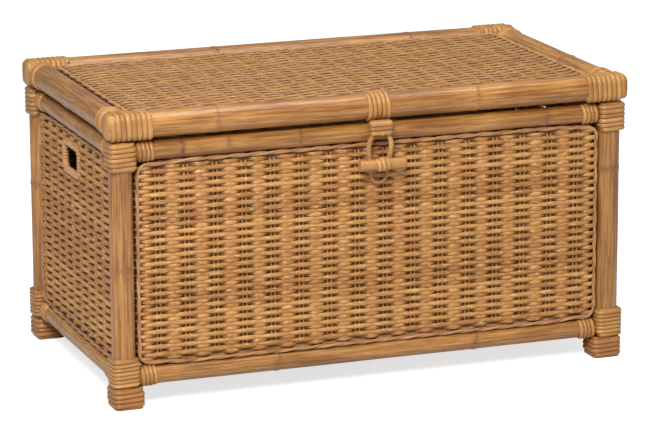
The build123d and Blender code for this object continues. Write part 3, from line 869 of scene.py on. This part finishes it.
def flat_strands(half_x, half_y, corner, seed):
    """The rows of the lid or the base: doubled strands, before one stake and behind the next."""
    random.seed(seed)
    places = column_places(flat_columns, flat_column_pitch)
    section = round_section(flat_half_high, flat_half_deep, 6)
    rows = 2 * math.ceil(half_y / flat_row)
    strands = []
    for strand in range(2 * rows):
        row = strand // 2
        height = (strand + 0.5 - rows) * flat_row / 2
        if abs(height) > half_y + flat_half_high:
            continue
        reach = reach_at(min(abs(height), half_y), half_x, half_y, corner)
        ways = [
            places[column] + random.uniform(-flat_wander, flat_wander)
            for column in range(flat_columns)
            if (column + row) % 2
        ]
        edge_under = row % 2 == 0

        def row_waves(x, cord, ways=ways, edge_under=edge_under):
            near = [place for place in ways if abs(x - place) < flat_near]
            under = max([dip(x, place, flat_dip_reach) for place in near], default=0)
            level = math.cos(math.pi * (x - places[0]) / flat_column_pitch) ** 2
            edge = 0
            if edge_under:
                edge = max(dip(x, cord, flat_edge_reach), dip(x, -cord, flat_edge_reach))
            depth = flat_half_deep + flat_relief * (1 - level)
            return -depth - flat_dip_deep * under - flat_edge_deep * edge, 1.1 - 0.1 * under

        step = flat_column_pitch / flat_steps
        strands += weave_row(
            height, reach, section, row_waves, flat_drift, None, step, flat_tone
        )
    return strands


def stakes(places, reach_y, radius, depth, opening=None, end_sunk=0.0):
    """Thin round stakes across the rows. end_sunk is how far their ends lie behind the rails."""
    section = round_section(radius, radius, 6)
    strands = []
    for place in places:
        spans = [(-reach_y, reach_y)]
        if opening and abs(place - opening[0]) < opening[2]:
            spans = [(-reach_y, opening[1] - opening[3]), (opening[1] + opening[3], reach_y)]
        tone = random.uniform(-0.02, 0.16)
        kind = random.uniform(0, 90)

        def route(y, place=place, kind=kind):
            drift = noise.noise(Vector((y * 20, kind, 0))) * stake_wander
            sunk = end_sunk if abs(y) > reach_y - end_sunk else 0
            return Vector((place + drift, y, depth - sunk)), UP

        for start, end in spans:
            steps = max(2, round((end - start) / stake_step))
            strands.append(lay(bar(section, start, end, steps), route, tone=tone))
    return strands


def edge_cord(half_x, half_y, corner, radius, swell=0.0, shift=0.0):
    """A closed cord of two twisted strands round a rounded rectangle, in its own plane.

    swell is how far its long runs bow outwards, towards the rails.
    """
    at, girth = rounded(half_x, half_y, corner)
    turns = round(girth / cord_pitch)
    strand_radius = radius * cord_strand_share
    offset = radius - strand_radius
    section = round_section(strand_radius, strand_radius, 6)
    strands = []
    for half_turn in (0, math.pi):

        def route(distance, half_turn=half_turn):
            point, away = at(distance)
            inwards = half_x - corner - cord_swell_from_corner - abs(point.x)
            bow = min(1, max(0, inwards / cord_swell_rise))
            point += away * (swell * away.y**2 * bow * bow * (3 - 2 * bow))
            angle = 2 * math.pi * turns * distance / girth + half_turn
            out = away * math.cos(angle) + UP * math.sin(angle)
            return point + out * offset, out

        strand = bar(section, 0, girth, turns * cord_turn_steps, capped=False)
        tone = shift + (-0.06 if half_turn else 0.12)
        strands.append(lay(strand, route, tone=tone, closed=True))
    return strands


def make_wall(place):
    x_way, out_way = walls[place]
    node = f"{place}_panel"
    low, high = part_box(node)
    reach = half(node)
    along = place in ("front", "back")
    columns = long_columns if along else short_columns
    column_pitch = long_column_pitch if along else short_column_pitch
    trim = centre(f"{place}_trim")
    trim_half = half(f"{place}_trim")
    cord_radius = trim_half.y if along else trim_half.x
    outer = max(low.dot(out_way), high.dot(out_way))
    origin = centre(node)
    origin += out_way * (outer - origin.dot(out_way))
    local = stand(origin, x_way, out_way)
    opening = None
    if not along:
        frame_node = f"handhold_frame_{place}"
        spot = local.inverted() @ centre(frame_node)
        bar_half = half(frame_node).x
        opening = (spot.x, spot.y, half(frame_node).y - bar_half, half(frame_node).z - bar_half)
    seed = 20 + 10 * list(walls).index(place)
    cord_half_x = (trim_half.x if along else trim_half.y) - cord_radius
    cord_half_y = trim_half.z - cord_radius
    strands = wall_strands(cord_half_x, cord_half_y, columns, column_pitch, opening, seed)
    places = column_places(columns, column_pitch)
    singles = [place + side * half_pair for place in places for side in (-1, 1)]
    depth = -2 * row_half_deep - stake_radius
    stake_reach = reach.z - rail_touch
    strands += stakes(singles, stake_reach, stake_radius, depth, opening, stake_end_sunk)
    sheet = shaded(joined(strands), wall_shade_from, wall_shade_reach)
    piece(f"woven_{place}", placed(sheet, local), "woven_cane", "chest", node)
    cord_depth = trim.dot(out_way) - outer
    cord = joined(edge_cord(cord_half_x, cord_half_y, trim_corner, cord_radius, cord_swell))
    placed(cord, local @ Matrix.Translation((0, 0, cord_depth)))
    piece(f"edge_cord_{place}", cord, "trim_cane", "chest", f"{place}_trim")


def make_hold(place):
    """The ring round a hand-hold: a rod with cane wound closely round it."""
    node = f"handhold_frame_{place}"
    x_way, out_way = walls[place]
    radius = half(node).x
    core_radius = radius - hold_wrap_proud
    at, girth = rounded(half(node).y - radius, half(node).z - radius, hold_corner)
    turns = round(girth / hold_wrap_pitch)
    width = girth / turns - turn_gap

    def wrap_route(distance):
        point, away = at(distance)
        angle = 2 * math.pi * turns * distance / girth
        out = away * math.cos(angle) + UP * math.sin(angle)
        return point + out * core_radius, out

    core = bar(round_section(core_radius, core_radius, 10), 0, girth, 60, capped=False)
    lay(core, at, closed=True)
    wound = bar(flat_section(width, hold_wrap_proud), 0, girth, turns * 12, capped=False)
    lay(wound, wrap_route, tone=0.26, closed=True)
    ring = placed(joined([core, wound]), stand(centre(node), x_way, out_way))
    piece(f"wound_handhold_{place}", ring, "trim_cane", "chest", node)


def make_flat_panel(node, name, body, top, cord_half, corner, seed):
    """The lid's or the base's woven panel, whose rows run the long way."""
    middle = centre(node)
    strands = flat_strands(*cord_half, corner, seed)
    places = column_places(flat_columns, flat_column_pitch)
    depth = -2 * flat_half_deep - stake_radius
    strands += stakes(places, half(node).y - rail_touch, stake_radius, depth)
    sheet = shaded(joined(strands), flat_shade_from, flat_shade_reach)
    placed(sheet, Matrix.Translation((middle.x, middle.y, top)))
    piece(name, sheet, "woven_cane", body, node)


def make_lid_panel():
    low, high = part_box("lid_trim")
    radius = (high.z - low.z) / 2
    middle = centre("lid_trim")
    reach = half("lid_trim")
    cord_half = (reach.x - radius, reach.y - radius)
    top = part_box("lid_panel")[1].z
    make_flat_panel("lid_panel", "woven_lid", "lid", top, cord_half, trim_corner, 70)
    cord = joined(edge_cord(*cord_half, trim_corner, radius, shift=0.2))
    placed(cord, Matrix.Translation(middle))
    piece("edge_cord_lid", cord, "trim_cane", "lid", "lid_trim")


def make_base():
    reach = half("base_panel")
    cord_half = (reach.x - past_cord, reach.y - flat_half_high)
    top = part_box("base_panel")[1].z + base_raised
    make_flat_panel("base_panel", "woven_base", "chest", top, cord_half, base_corner, 90)


def make_cross_bars(node, name, body):
    """Two round cross bars from front to back."""
    low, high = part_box(node)
    radius = (high.z - low.z) / 2
    bars = []
    for seed, x in ((5, low.x + radius), (8, high.x - radius)):
        bm = pole(high.y - low.y, radius, ((0.14 + 0.01 * seed, 0.6),), seed)
        start = Vector((x, low.y, (low.z + high.z) / 2))
        bars.append(placed(bm, stand(start, BACKWARDS, UP)))
    piece(name, joined(bars), "rattan_pole", body, node)


def make_lid_wraps(edge, side_y):
    """The cane at both ends of a long lid rail and on the side rails' ends beside it."""
    rail = f"lid_rail_{edge}"
    strands = []
    radius = half(rail).z
    for side_x, side in ((-1, "left"), (1, "right")):
        random.seed(40 + 3 * side_x + side_y)
        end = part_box(rail)[0 if side_x < 0 else 1].x
        origin = centre(rail)
        origin.x = end - side_x * lid_wrap_from_end
        along = -ACROSS * side_x
        away = BACKWARDS * side_y
        tone = random.uniform(-0.06, 0.06)
        corner = lid_wrap_corner - proud
        core = radius - lid_wrap_bedded
        strand = wrap(core, core, corner, lid_wrap_pitch, lid_wrap_crossings, tone, 1 / 8)
        local = stand(origin, away.cross(along), along)
        strands.append(placed(strand, local))
        span = lid_wrap_pitch * (lid_wrap_crossings + 0.5)
        start = -lid_wrap_from_end - lid_block_past
        block = squared_block(core, core, corner, start, span - lid_block_short, lid_block_edge)
        strands.append(placed(block, local))
        side_rail = f"lid_rail_{side}"
        origin = centre(side_rail)
        origin.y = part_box(side_rail)[0 if side_y < 0 else 1].y - side_y * lid_side_wrap_past
        along = -BACKWARDS * side_y
        away = ACROSS * side_x
        strand = round_wrap(
            radius, lid_wrap_pitch, lid_side_crossings, tone=random.uniform(-0.06, 0.06)
        )
        strands.append(placed(strand, stand(origin, away.cross(along), along)))
    piece(f"cane_lid_{edge}", joined(strands), "binding_cane", "lid", f"lid_bindings_{edge}")


# Latch


def make_strap():
    node = "latch_strap"
    rail = centre("lid_rail_front")
    origin = Vector((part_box(node)[0].x, rail.y, rail.z))
    radius = half("lid_rail_front").z
    strand = round_wrap(radius, strap_pitch, strap_crossings, tone=0.03)
    placed(strand, stand(origin, UP, ACROSS))
    piece("cane_strap", strand, "binding_cane", "lid", node)


pivot = Vector(frame["joints"][1]["pos_m"])


def latch_frame():
    """The latch's plane: x across, y up the latch, z out to the front."""
    out = Vector((0, -math.cos(latch_tilt), -math.sin(latch_tilt)))
    return stand(pivot, ACROSS, out)


def make_tab():
    """Three level turns of cane that bind the top of the loop, with one small stitch."""
    node = "latch_tab"
    reach = half(node)
    inner_x = reach.x - proud
    inner_y = tab_half_deep - proud
    height = 2 * (reach.z - tab_half_deep * math.sin(latch_tilt)) / math.cos(latch_tilt)
    height += tab_raised
    pitch = height / tab_crossings_high
    strand = wrap(inner_x, inner_y, tab_corner - proud, pitch, tab_crossings, 0.02, level=1.0)
    placed(strand, Matrix.Translation((0, 0, -tab_start * pitch)))
    core_end = height - tab_core_short
    core = squared_block(inner_x, inner_y, tab_corner - proud, tab_core_short, core_end)
    low_turn = (tab_crossings - 0.75) * pitch - tab_start * pitch
    stitch = bar(flat_section(*stitch_size), low_turn + 0.0004, low_turn + pitch - 0.0008, 8)

    def stitch_route(distance):
        return Vector((stitch_place, inner_y + proud - 0.0001, distance)), BACKWARDS

    lay(stitch, stitch_route, tone=0.12)
    along = (centre(node) - pivot).dot(latch_frame().col[1].to_3d())
    top = along + (height + tab_raised) / 2
    down = Matrix.Translation((0, top, 0)) @ Matrix.Rotation(math.pi / 2, 4, "X")
    whole = placed(joined([strand, core, stitch]), latch_frame() @ down)
    piece("cane_tab", whole, "binding_cane", "latch", node)


def smooth_route(points, normal):
    """The point and the outward way on a closed smooth line through the plane z = 0."""
    curve = bpy.data.curves.new("line", "CURVE")
    curve.dimensions = "3D"
    spline = curve.splines.new("NURBS")
    spline.points.add(len(points) - 1)
    for target, (x, y) in zip(spline.points, points):
        target.co = (x, y, 0, 1)
    spline.use_cyclic_u = True
    spline.order_u = 3
    spline.resolution_u = 16
    holder = bpy.data.objects.new("line", curve)
    mesh = bpy.data.meshes.new_from_object(holder)
    places = [Vector(vertex.co) for vertex in mesh.vertices]
    bpy.data.objects.remove(holder)
    bpy.data.curves.remove(curve)
    bpy.data.meshes.remove(mesh)
    count = len(places)
    marks = [0.0]
    for index in range(count):
        marks.append(marks[-1] + (places[(index + 1) % count] - places[index]).length)
    girth = marks[-1]
    ways = [(places[(i + 1) % count] - places[i - 1]).normalized() for i in range(count)]

    def at(distance):
        distance %= girth
        index = min(bisect_right(marks, distance), count) - 1
        share = (distance - marks[index]) / (marks[index + 1] - marks[index])
        following = (index + 1) % count
        point = places[index].lerp(places[following], share)
        ahead = ways[index].lerp(ways[following], share).normalized()
        return point, ahead.cross(normal)

    return at, girth


def make_loop():
    """The cane loop: bound with fine strand down its legs, bare and thinner round its foot."""
    down_neck, down_belly, down_foot = loop_downs
    side = [
        (loop_neck, 0.0),
        (loop_neck, -down_neck),
        (loop_belly, -down_belly),
        *loop_below_belly,
        (loop_foot, -down_foot + loop_foot_round),
        (loop_foot_round, -down_foot),
    ]
    points = side + [(-x, y) for x, y in reversed(side)]
    at, girth = smooth_route(points, UP)

    def share_at(distance):
        point, _ = at(distance)
        low = min(1, max(0, (-point.y - loop_thins_from) / loop_thins_over))
        return 1 - loop_thins * low

    def core_size(distance):
        share = share_at(distance)
        return share, share

    core_radius = loop_leg_radius - loop_strand_half[1] + loop_strand_bedded
    core = bar(round_section(core_radius, core_radius, 12), 0, girth, 150, capped=False)
    lay(core, at, core_size, tone=-0.1, closed=True)
    turns = round(girth / loop_wrap_pitch)

    def wrap_route(distance):
        point, away = at(distance)
        angle = 2 * math.pi * turns * distance / girth
        out = away * math.cos(angle) + UP * math.sin(angle)
        low = min(1, max(0, (-point.y - loop_bare_from) / loop_bare_over))
        sunk = loop_bare_sunk * low
        return point + out * (core_radius * share_at(distance) - sunk - loop_strand_bedded), out

    section = round_section(*loop_strand_half, 6)
    wound = bar(section, 0, girth, turns * 10, capped=False)
    lay(wound, wrap_route, tone=0.1, closed=True)
    ring = placed(joined([core, wound]), latch_frame())
    piece("wound_loop", ring, "loop_cane", "latch", "latch_loop")


def make_peg():
    """The peg, its cut ends a little softened, and the cane lashed round it."""
    low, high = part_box("toggle_peg")
    radius = (high.z - low.z) / 2
    middle = centre("toggle_peg")
    bm = pole(high.x - low.x, radius, (), 33, peg_end_round)
    placed(bm, stand(Vector((low.x, middle.y, middle.z)), ACROSS, UP))
    piece("peg", bm, "peg_wood", "toggle", "toggle_peg")
    lashing_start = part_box("toggle_lashing")[0].x
    strand = round_wrap(radius, lashing_pitch, lashing_crossings, tone=0.03)
    origin = Vector((lashing_start, middle.y, middle.z))
    placed(strand, stand(origin, UP, ACROSS))
    piece("peg_lashing", strand, "binding_cane", "toggle", "toggle_lashing")


def keep_node(node, slot):
    """A CAD node whose shape is right gets the finish alone."""
    kept = frame["nodes"][node]
    kept.data.materials.clear()
    kept.data.materials.append(finishes[slot])


for corner, (side_x, side_y) in corners.items():
    make_post(corner, side_x, side_y)
    make_corner(corner, side_x, side_y)
for level in ("top", "bottom"):
    for place in walls:
        make_rail(f"{level}_rail_{place}", "chest")
for place in walls:
    make_wall(place)
for place in ("left", "right"):
    make_hold(place)
make_base()
make_cross_bars("base_stretchers", "base_cross_bars", "chest")
for place in ("front", "back"):
    make_rail(f"lid_rail_{place}", "lid", lid_pole_end_round)
for place in ("left", "right"):
    make_rail(f"lid_rail_{place}", "lid")
make_lid_panel()
make_cross_bars("lid_stretchers", "lid_cross_bars", "lid")
make_lid_wraps("front", -1)
make_lid_wraps("back", 1)
make_strap()
make_tab()
make_loop()
make_peg()
keep_node("toggle_stem", "peg_wood")
for side in ("left", "right"):
    keep_node(f"hinge_box_leaf_{side}", "hinge_brass")
    keep_node(f"hinge_lid_leaf_{side}", "hinge_brass")
for node in ("hinge_pins", "hinge_screws_box", "hinge_screws_lid"):
    keep_node(node, "hinge_brass")


# Stage, light and camera


def make_stage():
    """A wide pale floor that looks white and keeps the shadow, under a white world."""
    bm = bmesh.new()
    bmesh.ops.create_grid(bm, x_segments=1, y_segments=1, size=30)
    mesh = bpy.data.meshes.new("floor")
    bm.to_mesh(mesh)
    bm.free()
    floor = bpy.data.objects.new("floor", mesh)
    bpy.context.scene.collection.objects.link(floor)
    material, start, shader = begin("pale_floor", 0.9)
    shader.inputs["Base Color"].default_value = (0.6, 0.6, 0.6, 1)
    shader.inputs["Specular IOR Level"].default_value = 0.0
    path = start.node("ShaderNodeLightPath", {}, {}, "Is Camera Ray")
    shader.inputs["Emission Color"].default_value = (1, 1, 1, 1)
    start.tree.links.new((path * 0.72).socket, shader.inputs["Emission Strength"])
    mesh.materials.append(material)


def make_world():
    world = bpy.data.worlds.new("studio")
    bpy.context.scene.world = world
    world.use_nodes = True
    tree = world.node_tree
    tree.nodes.clear()
    start = Signal(tree)
    camera = start.node("ShaderNodeLightPath", {}, {}, "Is Camera Ray")
    glossy = start.node("ShaderNodeLightPath", {}, {}, "Is Glossy Ray")
    seen = camera * 0.6 - glossy * 0.15
    strength = 0.4 + seen
    light = start.node("ShaderNodeBackground", {}, {"Color": (1, 1, 1, 1), "Strength": strength})
    out = tree.nodes.new("ShaderNodeOutputWorld")
    tree.links.new(light.socket, out.inputs["Surface"])


def make_lamp(name, place, aim, size, power):
    data = bpy.data.lights.new(name, "AREA")
    data.size = size
    data.energy = power
    lamp = bpy.data.objects.new(name, data)
    bpy.context.scene.collection.objects.link(lamp)
    lamp.location = place
    lamp.rotation_euler = (Vector(aim) - Vector(place)).to_track_quat("-Z", "Y").to_euler()


def make_camera():
    data = bpy.data.cameras.new("camera")
    data.lens = camera_lens
    data.sensor_width = 36
    camera = bpy.data.objects.new("camera", data)
    bpy.context.scene.collection.objects.link(camera)
    level = Euler((math.radians(90 - camera_pitch), 0, math.radians(-camera_yaw)))
    turned = level.to_matrix() @ Matrix.Rotation(math.radians(camera_roll), 3, "Z")
    camera.location = camera_place
    camera.rotation_euler = turned.to_euler()
    bpy.context.scene.camera = camera


make_stage()
make_world()
make_lamp("key", (-1.5, -2.5, 2.5), (-0.1, 0, 0.2), 1.1, 122)
make_lamp("top", (0.3, -0.2, 2.6), (0, 0, 0.3), 1.4, 24)
make_camera()
bpy.context.scene.view_settings.view_transform = "Standard"
